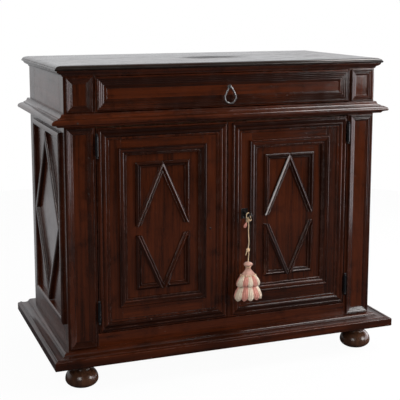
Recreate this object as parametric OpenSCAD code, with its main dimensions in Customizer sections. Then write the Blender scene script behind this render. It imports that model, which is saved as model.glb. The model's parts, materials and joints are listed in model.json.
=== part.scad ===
// Walnut credenza with one frieze drawer and a pair of panelled doors, on bun feet.
// The floor is z = 0, the front faces -Y, and the origin is the middle of the footprint.

/* [Carcass] */
// Width of the cupboard body
body_w = 1080; // [1000:10:1180]
// Depth of the cupboard body
body_d = 530; // [480:10:600]
// Height of the door stage, from the base to the waist moulding
lower_h = 712; // [680:2:780]
// Height of the drawer stage
frieze_h = 113; // [105:1:125]
// Width of a front post across the front
post_w = 98; // [94:1:110]
// Depth of a front post
post_d = 50; // [46:1:60]
// Width of a rear post along the side
rear_post_w = 90; // [80:1:110]
// Thickness of the rear posts
rear_post_t = 30; // [28:1:36]
// Thickness of the side rails and frieze boards
side_t = 25; // [20:1:28]
// Thickness of the side panels
panel_t = 12; // [9:1:14]
// How far a side panel lies behind the face of its posts
panel_recess = 2; // [1:0.5:4]
// Thickness of the back boards
back_t = 15; // [12:1:20]
// Number of back boards
back_boards_n = 5; // [4:1:7]
// Depth of the rails between the front posts
rail_d = 60; // [56:1:80]

/* [Base and feet] */
// Height of the feet
foot_h = 84; // [80:1:100]
// Height of the round part of a foot
foot_bun_h = 60; // [48:1:62]
// Widest radius of a foot
foot_r = 53; // [44:1:56]
// Radius of the neck of a foot
foot_neck_r = 31; // [26:1:34]
// Radius of the tenon on a foot
foot_tenon_r = 14; // [10:1:18]
// Length of the tenon on a foot
foot_tenon_h = 26; // [16:1:28]
// Inset of a foot's centre from the side of the body
foot_in_x = 43; // [40:1:60]
// Inset of a foot's centre from the front and back edges of the base
foot_in_y = 78; // [70:1:90]
// Height of the base moulding
base_h = 38; // [30:1:45]
// Overhang of the base at the sides
base_side = 58; // [50:1:70]
// Overhang of the base at the front
base_front = 68; // [60:1:80]
// Overhang of the base at the back, over a wall skirting
base_back = 45; // [30:1:60]
// Width of the back rail of the base
base_back_w = 110; // [95:1:120]

/* [Top and mouldings] */
// Thickness of the top board
top_h = 16; // [14:1:22]
// Height of the moulding under the top
under_h = 18; // [14:1:24]
// Overhang of the top at the sides
top_side = 27; // [20:1:40]
// Overhang of the top at the front
top_front = 14; // [10:1:30]
// Height of the waist moulding
waist_h = 40; // [34:1:46]
// Overhang of the waist moulding at the sides
waist_side = 43; // [34:1:50]
// Overhang of the waist moulding at the front
waist_front = 30; // [24:1:40]
// Width of the moulding frames on the posts beside the drawer
post_mould_w = 21; // [14:1:24]
// Width of the moulding frames on the posts beside the doors
pilaster_mould_w = 21; // [16:1:26]
// Thickness of the moulding frames on the posts
post_mould_h = 7.5; // [5:0.5:9]
// Width of the mouldings on the sides
side_mould_w = 20; // [16:1:24]
// Thickness of the mouldings on the sides
side_mould_h = 11; // [8:0.5:14]

/* [Doors] */
// Thickness of the door stiles and rails
door_t = 28; // [24:1:32]
// Gap round and between the doors
door_gap = 3; // [2.6:0.1:4]
// Visible width of a door's hinge stile
hinge_stile = 68; // [64:1:76]
// Visible width of a door's meeting stile
meeting_stile = 75; // [72:1:84]
// Visible width of a door's top rail
top_rail = 64; // [58:1:76]
// Visible width of a door's bottom rail
bottom_rail = 77; // [68:1:90]
// Height of the front rail under the doors
front_rail_h = 43; // [38:1:52]
// Width of the moulding round a door's edge
edge_mould_w = 34; // [28:1:36]
// Thickness of the moulding round a door's edge
edge_mould_h = 7; // [5:0.5:7]
// Width of the moulding round a door's panel
panel_mould_w = 27; // [22:1:32]
// Thickness of the moulding round a door's panel
panel_mould_h = 8; // [6:0.5:9]
// How far a door's panel lies behind its frame
door_recess = 4; // [3:0.5:6]
// Thickness of a door's panel
door_panel_t = 14; // [10:1:18]
// Width of the lozenge and corner mouldings on a door
fret_w = 19; // [14:1:22]
// Thickness of the lozenge and corner mouldings on a door
fret_h = 10; // [6:0.5:10]
// Half width of the moulded rectangle on a door panel
fret_half_w = 91; // [80:1:100]
// Distance from the panel moulding up to the moulded rectangle
fret_low = 51; // [44:1:60]
// Distance from the moulded rectangle up to the panel moulding
fret_top = 50; // [44:1:60]
// Half width of the lozenge on a door panel
lozenge_half_w = 98; // [94:1:112]
// How much taller the lozenge is than the moulded rectangle
lozenge_over = 32; // [20:2:60]
// Gap between the upper and the lower half of the lozenge
lozenge_gap = 32; // [10:1:40]
// Gap between the top of a door and the waist moulding
door_top_gap = 8; // [5:1:12]

/* [Drawer] */
// Thickness of the drawer front
drawer_front_t = 24; // [20:1:28]
// Space left behind the closed drawer
drawer_space = 45; // [20:5:120]
// Thickness of the drawer sides
drawer_side_t = 14; // [10:1:18]
// Thickness of the drawer back and bottom
drawer_thin_t = 9; // [7:1:12]
// Width of the moulding on the drawer front
drawer_mould_w = 34; // [26:1:36]
// Thickness of the moulding on the drawer front
drawer_mould_h = 8; // [5:0.5:8]

/* [Ironwork] */
// Radius of a hinge barrel
hinge_r = 5.5; // [5:0.5:6]
// Length of one hinge barrel
hinge_h = 29; // [24:1:36]
// Radius of a hinge pin
hinge_pin_r = 3; // [2.5:0.1:3.2]
// Distance of the hinge pin in front of the body
hinge_out = 9; // [8.5:0.5:11]
// Height of a finial on a hinge
finial_h = 11; // [8:1:14]
// Thickness of a hinge leaf
leaf_t = 2; // [1.5:0.5:3]
// Length of a hinge leaf behind the front face
leaf_d = 26; // [18:1:28]
// Distance of a hinge's middle from the top or bottom of the door
hinge_in = 56; // [50:1:90]
// Radius of the ring pull's lower bend, on the wire's centre
ring_r = 19; // [16:0.5:22]
// Radius of the ring pull's upper bend, on the wire's centre
ring_eye_r = 7; // [6.6:0.2:8]
// Distance between the centres of the two bends
ring_l = 27; // [22:1:32]
// Radius of the ring pull's wire
ring_wire_r = 2.75; // [2:0.25:2.75]
// Distance of the ring pull in front of the drawer
ring_out = 13; // [12:0.5:16]
// Height of the ring pull's eye above the middle of the drawer front
ring_up = 10; // [4:1:12]
// Distance of the ring pull to the right of the drawer's middle
ring_x = 3; // [0:0.5:6]
// Radius of the key's shank
shank_r = 3.5; // [3:0.1:3.8]
// Distance of the keyhole from the middle of the cupboard
key_x = 60; // [60:0.5:64]
// Distance of the keyhole above the middle of the doors
key_up = 23; // [0:1:60]
// How far the key's shank stands out to its bow
shank_out = 40; // [38:1:44]
// Reach of the key's bit from its axis
bit_r = 14; // [10:1:16]
// Travel of the lock bolt
bolt_travel = 14; // [10:1:15]
// Travel of the slide bolt
slide_travel = 13; // [8:1:14]

/* [Inside] */
// Thickness of the cupboard floor and shelf
shelf_t = 16; // [12:1:22]
// Height of the shelf above the cupboard floor
shelf_up = 320; // [200:10:420]
// Thickness of the dust board under the drawer
dust_t = 10; // [8:1:14]
// Height of the shelf cleats
cleat_h = 24; // [18:1:30]
// Width of the shelf cleats
cleat_w = 22; // [16:1:26]
// Width of the drawer runners inside the posts
runner_w = 40; // [30:1:50]
// Width of the drawer guides
guide_w = 30; // [20:1:40]
// Height of the drawer runners
runner_h = 22; // [18:1:26]
// Height of the drawer guides
guide_h = 24; // [16:1:40]

/* [Key tassel] */
// Widest radius of the tassel
tassel_r = 49; // [40:1:55]
// Depth of the tassel from front to back
tassel_d = 52; // [40:1:52]
// Length of the tassel
tassel_l = 130; // [110:1:150]
// Diameter of the key cord
cord_d = 3.2; // [2:0.1:3.2]

/* [Hidden] */
$fn = 48;

walnut = "#3a1c12";
inner_wood = "#8a6a45";
iron = "#26262a";

// Clearances: between moving iron parts, in hinge bores, and between drawer and runner
iron_clear = 0.5;
pin_clear = 0.05;
slide_clear = 0.3;
// Overlap of parts forged or glued into one piece
weld = 0.4;

hw = body_w / 2;
base_d = base_front + body_d + base_back;
front_y = base_front - base_d / 2;
z_base = foot_h;
z_low = z_base + base_h;
z_waist = z_low + lower_h;
z_frieze = z_waist + waist_h;
z_under = z_frieze + frieze_h;
z_top = z_under + under_h;
// Reaches of the blocks that cut a shape to length: far past the cupboard, and past a moulding
big = 3 * body_w;
reach = 2 * edge_mould_w;
open_x = hw - post_w;
rear_y = body_d - rear_post_w;
mitre_in = 1.25;

// Heights at the sides
side_mould_top = 22;
side_mould_low = 74;
side_mould_front = 40;
side_mould_rear = 80;
side_rail_top = z_low + side_mould_low + side_mould_w / 2;
frieze_low = z_waist - side_mould_top - side_mould_w / 2;

// Doors
door_z0 = z_low + front_rail_h + door_gap;
door_z1 = z_waist - door_top_gap;
door_x1 = open_x - door_gap;
door_x0 = door_gap / 2;
panel_seat = 10;
edge_in = 5;
edge_in_lock = 13;
panel_x0 = door_x0 + meeting_stile;
panel_x1 = door_x1 - hinge_stile;
panel_z0 = door_z0 + bottom_rail;
panel_z1 = door_z1 - top_rail;
fret_z0 = panel_z0 + fret_low;
fret_z1 = panel_z1 - fret_top;
fret_x = (panel_x0 + panel_x1) / 2;
lozenge_drop = 14;
lozenge_h = fret_z1 - fret_z0 + lozenge_over;
lozenge_z = (fret_z0 + fret_z1) / 2 - lozenge_drop;
axis_x = open_x - door_gap / 2;
hinge_zs = [door_z0 + hinge_in + 13, door_z1 - hinge_in];

// Lock, key and slide bolt
key_z = (door_z0 + door_z1) / 2 + key_up;
lock_x0 = door_x0 + 3;
lock_x1 = key_x + 42;
lock_d = 16;
lock_wall = 2;
lock_z0 = key_z - bit_r - 6;
bolt_z0 = key_z + bit_r + 2;
bolt_h = 12;
bolt_t = 6;
bolt_y = door_t + 3;
lock_z1 = bolt_z0 + bolt_h + 6;
keeper_w = bolt_travel;
keeper_x = door_x0 + 2;
slide_x = door_x0 + 44;
slide_r = 4;
slide_y = door_t + 8;
stop_h = slide_travel + 1;
stop_z0 = z_waist - 4 - stop_h;
slide_top = stop_z0 - 2;
slide_l = 110;
staple_w = 26;
staple_h = 10;
staple_d = 15;
staple_in = 14;
knob_stem_r = 3;
knob_r = 6;
knob_l = 14;
key_bore_r = shank_r + 0.7;
bow_r = 10;
bow_wire = 2.2;
collar_r = shank_r + 1.5;
collar_w = 3;
bit_t = 3.4;
bit_slot = 5;
plate_w = 2 * (min(key_x - door_x0 - edge_in_lock - edge_mould_w, panel_x0 - key_x) - iron_clear);
plate_up = 15;
plate_down = 19;

// Drawer
drawer_gap = 1.5;
drawer_l = body_d - back_t - drawer_space;
drawer_x = open_x - drawer_gap;
drawer_z0 = z_frieze + 2.5;
drawer_z1 = z_under - 2.5;
drawer_edge = 4;
drawer_in_x = drawer_x - 2 - drawer_side_t;
side_z0 = z_frieze + slide_clear;
side_z1 = drawer_z1 - 12;
floor_z0 = side_z0 + 6;
eye_z = (drawer_z0 + drawer_z1) / 2 + ring_up;
eye_wire = 2;
eye_shank_r = 3;
ring_plate_t = 2;
drawer_field = (drawer_z1 - drawer_z0) / 2 - drawer_edge - drawer_mould_w;
ring_plate_r = drawer_field - ring_up - iron_clear;
eye_r = ring_wire_r + eye_wire + 0.85;

// Inside
floor_z1 = z_low + front_rail_h + 10;
shelf_z0 = floor_z1 + shelf_up;
shelf_x = hw - panel_recess - panel_t - slide_clear;
runner_z0 = z_frieze - runner_h;
inner_y = rail_d;

// Key cord: the points lie about the key's axis, at the face of the door
cord_points = [[-10, -31, -41], [-8, -31, -34], [-4.5, -31, -27], [0, -31.5, -21],
    [4, -32.5, -14], [6.4, -33, -7], [6.2, -33, 0], [4.4, -33, 4.4], [0, -33, 6.2],
    [-4.4, -33, 4.4], [-6.2, -33, 0], [-6.4, -33.3, -7], [-4, -34.5, -14], [-1, -36, -22],
    [0, -37, -30], [0, -37, -38], [-0.5, -37, -46], [-0.5, -36.5, -54], [0, -36.5, -62],
    [0.5, -36, -70], [1, -36, -78], [1.5, -36, -86], [2, -36, -94], [1, -36, -102],
    [-0.5, -36, -110], [-1, -36, -118], [1, -36, -126], [1.5, -36, -134], [0.5, -36, -142],
    [0, -36, -150], [0, -36, -159]];
cord_end = cord_points[len(cord_points) - 1];
tassel_y = cord_end[1];
tassel_top = key_z + cord_end[2];

// Points of an elliptical arc
function arc(cx, cy, rx, ry, a0, a1, n) =
    [for (i = [0 : n]) let (a = a0 + (a1 - a0) * i / n) [cx + rx * cos(a), cy + ry * sin(a)]];
// A drawn outline stretched to a real width and height
function sized(line, w, h) = [for (p = line) [p[0] * w, p[1] * h]];

// Sections of the applied mouldings, from the outer edge inwards, in shares of width and thickness
edge_line = concat([[0, 0]], arc(0.12, 0.6, 0.12, 0.4, 180, 0, 6), [[0.26, 0.48], [0.34, 0.4]],
    arc(0.53, 0.4, 0.17, 0.52, 170, 0, 6), [[0.74, 0.25], [0.77, 0.42], [0.94, 0.42], [1, 0.15], [1, 0]]);
frame_line = concat([[0, 0]], arc(0.09, 0.74, 0.09, 0.26, 180, 10, 5), [[0.19, 0.8], [0.23, 0.86],
    [0.4, 0.61], [0.46, 0.65], [0.63, 0.4], [0.69, 0.44], [0.86, 0.19], [0.92, 0.2], [1, 0.06], [1, 0]]);
stepped_line = concat([[0, 0]], arc(0.07, 0.76, 0.07, 0.24, 180, 10, 5), [[0.15, 0.8], [0.22, 0.84],
    [0.33, 0.6], [0.4, 0.63], [0.51, 0.39], [0.58, 0.42], [0.69, 0.18], [0.76, 0.22], [0.92, 0.2],
    [1, 0.06], [1, 0]]);
fret_line = [[0, 0], [0, 0.5], [0.05, 0.62], [0.3, 0.98], [0.36, 1], [0.42, 0.98], [0.5, 0.8],
    [0.6, 0.42], [0.66, 0.34], [0.73, 0.5], [0.8, 0.55], [0.88, 0.5], [0.96, 0.3], [1, 0.12], [1, 0]];
stick_line = concat([[0, 0]], arc(0.5, 0.62, 0.5, 0.38, 180, 0, 6), [[1, 0]]);
bolection_line = concat([[0, 0]], arc(0.11, 0.62, 0.11, 0.38, 180, 0, 6), [[0.26, 0.58]],
    arc(0.26, 0.36, 0.42, 0.5, 90, 0, 4), [[0.71, 0.22], [0.74, 0.34], [0.93, 0.34], [1, 0.1]]);
// A section whose back drops by a rebate from the seat inwards, down on to a recessed panel
function rebated(line, seat, drop) =
    concat(line, [[line[len(line) - 1][0], -drop], [seat, -drop]], seat > 0 ? [[seat, 0]] : []);
bolection = rebated(sized(bolection_line, panel_mould_w, panel_mould_h), panel_seat, door_recess);

// Sections of the running mouldings: share of the overhang, share of the height
base_line = concat([[-mitre_in, 0], [0.95, 0], [0.985, 0.04], [1, 0.11], [1, 0.67], [0.985, 0.72],
    [0.93, 0.76], [0.84, 0.77], [0.82, 0.83], [0.76, 0.83], [0.73, 0.775], [0.56, 0.74], [0.44, 0.75],
    [0.36, 0.785], [0.34, 0.83]], arc(0.12, 0.83, 0.2, 0.17, 0, 90, 4), [[-mitre_in, 1]]);
waist_line = concat([[0, 0], [0.5, 0], [0.56, 0.05], [0.62, 0.12], [0.8, 0.17], [0.95, 0.2],
    [1, 0.27]], arc(0.51, 0.33, 0.49, 0.28, 0, 90, 5), [[0.5, 0.68], [0.38, 0.71], [0.3, 0.76],
    [0.24, 0.84], [0.22, 0.92], [0.2, 0.92], [0.2, 0.985], [0, 1]]);
under_line = [[0, 0], [0.12, 0], [0.13, 0.22], [0.2, 0.26], [0.25, 0.4], [0.44, 0.42], [0.48, 0.5],
    [0.6, 0.6], [0.7, 0.74], [0.76, 0.92], [0.76, 1], [0, 1]];
top_line = [[0.8, 0], [0.9, 0.03], [0.98, 0.12], [1, 0.25], [0.97, 0.4], [0.88, 0.46], [0.86, 0.62],
    [0.72, 0.8], [0.48, 0.93], [0.2, 1]];

// The design is drawn with the body's front face at y = 0, then moved to its place
module at_front() { translate([0, front_y, 0]) children(); }
// Everything for a side is drawn at +X: side -1 is its mirror image
module on_side(side) {
    at_front() if (side < 0) mirror([1, 0, 0]) children(); else children();
}
// A squared board between its low and high corners
module board(low, high) { translate(low) cube(high - low); }

// One moulding along +X with both ends mitred, its outer edge on z = 0 and its back on y = 0
module mitred_stick(l, w, section) {
    intersection() {
        rotate(a = 180, v = [1, 0, 1]) linear_extrude(l) polygon(section);
        translate([0, reach, 0]) rotate([90, 0, 0]) linear_extrude(2 * reach)
            polygon([[0, 0], [l, 0], [l - w, w], [w, w]]);
    }
}
// A rectangle of four mitred mouldings from its low corner [x, z]
module mitred_frame(x, z, w, h, stick_w, section) {
    translate([x, 0, z]) {
        mitred_stick(w, stick_w, section);
        translate([w, 0, 0]) rotate([0, -90, 0]) mitred_stick(h, stick_w, section);
        translate([w, 0, h]) rotate([0, 180, 0]) mitred_stick(w, stick_w, section);
        translate([0, 0, h]) rotate([0, 90, 0]) mitred_stick(h, stick_w, section);
    }
}
// Quarter of a lozenge about the origin: one arm, cut square at z_min, x_max and z_max
module lozenge_arm(half_w, half_h, section, z_min, x_max, z_max) {
    arm_l = norm([half_w, half_h]);
    intersection() {
        translate([half_w, 0, 0]) rotate([0, -atan2(half_h, -half_w), 0]) translate([-arm_l / 2, 0, 0])
            rotate(a = 180, v = [1, 0, 1]) linear_extrude(2 * arm_l) polygon(section);
        board([0, -reach, z_min], [x_max, reach, z_max]);
    }
}
// Plan of the mitre between a front run and the right return
function mitre(side_out, front_out, t) = [hw + side_out * t, -front_out * t];
// A front run of a moulding, mitred at both ends to its returns
module front_run(line, height, side_out, front_out, t_in) {
    outer = mitre(side_out, front_out, 1.2);
    inner = mitre(side_out, front_out, -t_in);
    intersection() {
        translate([outer[0], 0, 0]) rotate([90, 0, -90]) linear_extrude(2 * outer[0])
            polygon(sized(line, front_out, height));
        translate([0, 0, -1]) linear_extrude(height + 2) polygon([[-inner[0], inner[1]],
            [-outer[0], outer[1]], [outer[0], outer[1]], [inner[0], inner[1]]]);
    }
}
// The right return of a moulding, from the front mitre to its square back end
module side_run(line, height, side_out, front_out, t_in, back_y) {
    outer = mitre(side_out, front_out, 1.2);
    inner = mitre(side_out, front_out, -t_in);
    intersection() {
        translate([hw, back_y, 0]) rotate([90, 0, 0]) linear_extrude(back_y - outer[1])
            polygon(sized(line, side_out, height));
        translate([0, 0, -1]) linear_extrude(height + 2)
            polygon([inner, outer, [outer[0], back_y], [inner[0], back_y]]);
    }
}

// Carcass
module front_post(side) {
    color(walnut) on_side(side) difference() {
        board([open_x, 0, z_low], [hw, post_d, z_top]);
        for (z = hinge_zs) board([open_x - 1, -1, z - hinge_h + 1], [open_x + leaf_t, leaf_d, z - 1]);
    }
}
module rear_posts() {
    color(walnut) for (side = [-1, 1]) on_side(side)
        board([hw - rear_post_t, rear_y, z_low], [hw, body_d, z_top]);
}
module side_panel(side) {
    color(walnut) on_side(side) board([hw - panel_recess - panel_t, post_d, side_rail_top],
        [hw - panel_recess, rear_y, frieze_low]);
}
module side_bottom_rails() {
    color(walnut) for (side = [-1, 1]) on_side(side)
        board([hw - side_t, post_d, z_low], [hw, rear_y, side_rail_top]);
}
module frieze_side_boards() {
    color(walnut) for (side = [-1, 1]) on_side(side)
        board([hw - side_t, post_d, frieze_low], [hw, rear_y, z_top]);
}
module side_moulding(side) {
    section = rebated(sized(stick_line, side_mould_w, side_mould_h), side_mould_w / 2, panel_recess);
    lozenge = rebated(sized(stick_line, side_mould_w, side_mould_h), 0, panel_recess);
    frame_w = body_d - side_mould_front - side_mould_rear;
    z0 = z_low + side_mould_low;
    frame_h = z_waist - side_mould_top - z0;
    half_w = frame_w / 2 - side_mould_w - iron_clear;
    half_h = frame_h / 2 - side_mould_w - iron_clear;
    color(walnut) on_side(side) translate([hw, 0, 0]) rotate([0, 0, 90]) {
        mitred_frame(side_mould_front, z0, frame_w, frame_h, side_mould_w, section);
        translate([side_mould_front + frame_w / 2, 0, z0 + frame_h / 2])
            for (mx = [0, 1], mz = [0, 1]) mirror([mx, 0, 0]) mirror([0, 0, mz])
                lozenge_arm(half_w, half_h, lozenge, 0, big, big);
    }
}
module front_bottom_rail() {
    color(walnut) at_front() board([-open_x, 0, z_low], [open_x, door_t + 2, z_low + front_rail_h]);
}
module waist_rail() {
    color(walnut) at_front() board([-open_x, 0, stop_z0 + stop_h], [open_x, rail_d, z_frieze]);
}
module top_rail() {
    color(walnut) at_front() board([-open_x, 0, z_under], [open_x, rail_d, z_top]);
}
module post_mouldings() {
    color(walnut) for (side = [-1, 1]) on_side(side) {
        mitred_frame(open_x + 8, z_low + 4, post_w - 13, lower_h - 10, pilaster_mould_w,
            sized(frame_line, pilaster_mould_w, post_mould_h));
        mitred_frame(open_x + 8, z_frieze + 3, post_w - 15, frieze_h - 6, post_mould_w,
            sized(frame_line, post_mould_w, post_mould_h));
    }
}
module door_stop() {
    color(inner_wood) at_front() difference() {
        board([-open_x, door_t + 1, stop_z0], [open_x, rail_d, stop_z0 + stop_h]);
        translate([-slide_x, slide_y, stop_z0 - 1]) cylinder(h = stop_h + 2, r = slide_r + iron_clear);
    }
}

// Top, waist and base
module top_board() {
    x_edge = sized(top_line, top_side, top_h);
    y_edge = sized(top_line, top_front, top_h);
    n = len(top_line);
    color(walnut) at_front() translate([0, 0, z_top]) intersection() {
        translate([0, body_d + 1, 0]) rotate([90, 0, 0]) linear_extrude(body_d + 2 * base_front)
            polygon(concat([for (p = x_edge) [hw + p[0], p[1]]],
                [for (i = [1 : n]) [-hw - x_edge[n - i][0], x_edge[n - i][1]]]));
        translate([hw + base_side, 0, 0]) rotate([90, 0, -90]) linear_extrude(2 * (hw + base_side))
            polygon(concat(y_edge, [[-body_d, top_h], [-body_d, 0]]));
    }
}
module top_moulding_front() {
    color(walnut) at_front() translate([0, 0, z_under])
        front_run(under_line, under_h, top_side, top_front, 0);
}
module top_moulding_returns() {
    color(walnut) for (side = [-1, 1]) on_side(side) translate([0, 0, z_under])
        side_run(under_line, under_h, top_side, top_front, 0, body_d);
}
module waist_moulding_front() {
    color(walnut) at_front() translate([0, 0, z_waist])
        front_run(waist_line, waist_h, waist_side, waist_front, 0);
}
module waist_moulding_returns() {
    color(walnut) for (side = [-1, 1]) on_side(side) translate([0, 0, z_waist])
        side_run(waist_line, waist_h, waist_side, waist_front, 0, body_d + 10);
}
module foot_bores() {
    for (side = [-1, 1], y = [foot_in_y - base_front, body_d + base_back - foot_in_y])
        translate([side * (hw - foot_in_x), y, z_base - 1])
            cylinder(h = foot_tenon_h + 1.5, r = foot_tenon_r + pin_clear);
}
module base_moulding_front() {
    color(walnut) at_front() difference() {
        translate([0, 0, z_base]) front_run(base_line, base_h, base_side, base_front, mitre_in);
        foot_bores();
    }
}
module base_moulding_returns() {
    color(walnut) for (side = [-1, 1]) on_side(side) difference() {
        translate([0, 0, z_base])
            side_run(base_line, base_h, base_side, base_front, mitre_in, body_d + base_back);
        foot_bores();
    }
}
module base_back_rail() {
    inner = hw - base_side * mitre_in;
    color(walnut) at_front() board([-inner, body_d + base_back - base_back_w, z_base],
        [inner, body_d + base_back, z_low]);
}
module bun_feet() {
    bulge = 2 * foot_r / 3;
    waist_z = foot_h - 19;
    belly_z = 0.4 * foot_bun_h;
    profile = concat([[0, 0]], arc(foot_r - bulge, belly_z, bulge, belly_z, -90, 0, 8),
        [for (p = arc(foot_r - bulge, belly_z, bulge, foot_bun_h - belly_z, 0, 62, 6))
            if (p[1] > belly_z) p],
        [[foot_neck_r, foot_bun_h], [foot_neck_r, waist_z + 4], [foot_neck_r + 4, waist_z + 6],
        [foot_neck_r + 4, waist_z + 10], [foot_neck_r, waist_z + 12], [foot_neck_r, foot_h],
        [foot_tenon_r, foot_h], [foot_tenon_r, foot_h + foot_tenon_h], [0, foot_h + foot_tenon_h]]);
    color(walnut) at_front()
        for (side = [-1, 1], y = [foot_in_y - base_front, body_d + base_back - foot_in_y])
            translate([side * (hw - foot_in_x), y, 0]) rotate_extrude() polygon(profile);
}

// Inside the carcass
module back_boards() {
    span = body_w - 2 * rear_post_t;
    w = span / back_boards_n;
    seam = 0.6;
    color(inner_wood) at_front() for (i = [0 : back_boards_n - 1])
        board([-span / 2 + i * w + (i > 0 ? seam : 0), body_d - back_t, z_low],
            [-span / 2 + (i + 1) * w, body_d, z_top]);
}
// A board across the cupboard, cut round the four posts
module notched_board(x, y0, z0, t) {
    difference() {
        board([-x, y0, z0], [x, body_d - back_t, z0 + t]);
        for (side = [-1, 1]) {
            board([min(side * open_x, side * big), -1, z0 - 1],
                [max(side * open_x, side * big), post_d, z0 + t + 1]);
            board([min(side * (hw - rear_post_t), side * big), rear_y, z0 - 1],
                [max(side * (hw - rear_post_t), side * big), big, z0 + t + 1]);
        }
    }
}
module bottom_board() {
    color(inner_wood) at_front() notched_board(hw - side_t, door_t + 2, floor_z1 - shelf_t, shelf_t);
}
module shelf() {
    color(inner_wood) at_front() notched_board(shelf_x, post_d + 2, shelf_z0, shelf_t);
}
module shelf_cleats() {
    color(inner_wood) for (side = [-1, 1]) on_side(side)
        board([hw - panel_recess - panel_t - cleat_w, post_d, shelf_z0 - cleat_h],
            [hw - panel_recess - panel_t, rear_y, shelf_z0]);
}
module dust_board() {
    color(inner_wood) at_front() notched_board(hw - side_t, rail_d, runner_z0 - dust_t, dust_t);
}
module drawer_runners() {
    color(inner_wood) for (side = [-1, 1]) on_side(side)
        board([open_x - runner_w, rail_d, runner_z0], [hw - rear_post_t, body_d - back_t, z_frieze]);
}
module drawer_guides() {
    color(inner_wood) for (side = [-1, 1]) on_side(side)
        board([open_x, rail_d, z_frieze], [open_x + guide_w, body_d - back_t, z_frieze + guide_h]);
}

// Hinges: a pintle let into the post carries an eye let into the door
module finial() {
    rotate_extrude() polygon([[0, 0], [hinge_r, 0], [hinge_r, finial_h * 0.12],
        [hinge_r * 0.45, finial_h * 0.28], [hinge_r * 0.45, finial_h * 0.38],
        [hinge_r * 0.78, finial_h * 0.56], [hinge_r * 0.8, finial_h * 0.7],
        [hinge_r * 0.5, finial_h * 0.92], [0, finial_h]]);
}
module hinge_pintles() {
    color(iron) for (side = [-1, 1], z = hinge_zs) on_side(side) {
        translate([axis_x, -hinge_out, z - hinge_h]) {
            cylinder(h = hinge_h, r = hinge_r);
            cylinder(h = hinge_h + hinge_h - 8, r = hinge_pin_r);
            mirror([0, 0, 1]) finial();
        }
        board([open_x, -hinge_out, z - hinge_h + 1], [open_x + leaf_t, leaf_d, z - 1]);
    }
}
module hinge_eyes(side) {
    color(iron) for (z = hinge_zs) on_side(side) difference() {
        union() {
            translate([axis_x, -hinge_out, z + slide_clear]) cylinder(h = hinge_h, r = hinge_r);
            translate([axis_x, -hinge_out, z + slide_clear + hinge_h]) finial();
            board([door_x1 - leaf_t, -hinge_out, z + 1], [door_x1, leaf_d, z + hinge_h]);
        }
        translate([axis_x, -hinge_out, z - 1]) cylinder(h = hinge_h - 6, r = hinge_pin_r + pin_clear);
    }
}

// Doors, drawn at +X
module door_stiles(side) {
    color(walnut) on_side(side) {
        difference() {
            board([panel_x1 - panel_seat, 0, door_z0], [door_x1, door_t, door_z1]);
            for (z = hinge_zs) board([door_x1 - leaf_t, -1, z + 1], [door_x1 + 1, leaf_d, z + hinge_h]);
        }
        difference() {
            board([door_x0, 0, door_z0], [panel_x0 + panel_seat, door_t, door_z1]);
            if (side > 0) {
                translate([key_x, -1, key_z]) rotate([-90, 0, 0]) cylinder(h = door_t + 2, r = key_bore_r);
                board([key_x - bit_slot / 2, -1, key_z - bit_r - 1],
                    [key_x + bit_slot / 2, door_t + 1, key_z]);
            }
        }
    }
}
module door_rails(side) {
    x0 = panel_x0 + panel_seat;
    x1 = panel_x1 - panel_seat;
    color(walnut) on_side(side) {
        board([x0, 0, door_z0], [x1, door_t, panel_z0 + panel_seat]);
        board([x0, 0, panel_z1 - panel_seat], [x1, door_t, door_z1]);
    }
}
module door_panel(side) {
    color(walnut) on_side(side) board([panel_x0 + panel_seat, door_recess, panel_z0 + panel_seat],
        [panel_x1 - panel_seat, door_recess + door_panel_t, panel_z1 - panel_seat]);
}
module door_edge_moulding(side) {
    x0 = door_x0 + (side > 0 ? edge_in_lock : edge_in);
    color(walnut) on_side(side) mitred_frame(x0, door_z0 + edge_in, door_x1 - edge_in - x0,
        door_z1 - door_z0 - 2 * edge_in, edge_mould_w, sized(edge_line, edge_mould_w, edge_mould_h));
}
module door_panel_moulding(side) {
    color(walnut) on_side(side) mitred_frame(panel_x0, panel_z0, panel_x1 - panel_x0,
        panel_z1 - panel_z0, panel_mould_w, bolection);
}
// A lozenge in a rectangle, which breaks round it: the lozenge is an upper and a lower half with
// a gap between them at its side points
module door_lozenge(side) {
    section = sized(fret_line, fret_w, fret_h);
    half_h = lozenge_h / 2;
    color(walnut) on_side(side) translate([fret_x, door_recess, 0]) {
        difference() {
            mitred_frame(-fret_half_w, fret_z0, 2 * fret_half_w, fret_z1 - fret_z0, fret_w, section);
            translate([0, reach, lozenge_z]) rotate([90, 0, 0]) linear_extrude(2 * reach)
                polygon([[-lozenge_half_w, 0], [0, -half_h], [lozenge_half_w, 0], [0, half_h]]);
        }
        translate([0, 0, lozenge_z]) for (mx = [0, 1]) mirror([mx, 0, 0]) {
            lozenge_arm(lozenge_half_w, half_h, section, lozenge_gap / 2, fret_half_w,
                fret_z1 - lozenge_z);
            mirror([0, 0, 1]) lozenge_arm(lozenge_half_w, half_h, section, lozenge_gap / 2, fret_half_w,
                lozenge_z - fret_z0);
        }
    }
}

// Slide bolt that holds the left door to the stop above it
module slide_bolt_staples() {
    color(iron) on_side(-1) difference() {
        for (z = [slide_top - staple_in - staple_h, slide_top - slide_l + staple_in])
            board([slide_x - staple_w / 2, door_t, z],
                [slide_x + staple_w / 2, door_t + staple_d, z + staple_h]);
        translate([slide_x, slide_y, slide_top - slide_l - 20])
            cylinder(h = slide_l + 40, r = slide_r + 2 * pin_clear);
    }
}
module slide_bolt() {
    color(iron) on_side(-1) translate([slide_x, slide_y, slide_top - slide_l]) {
        cylinder(h = slide_l, r = slide_r);
        translate([0, 0, slide_l / 2 - knob_r]) rotate([-90, 0, 0]) cylinder(h = knob_l, r = knob_stem_r);
        translate([0, knob_l, slide_l / 2 - knob_r]) rotate([-90, 0, 0]) cylinder(h = knob_r, r = knob_r);
    }
}
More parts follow.
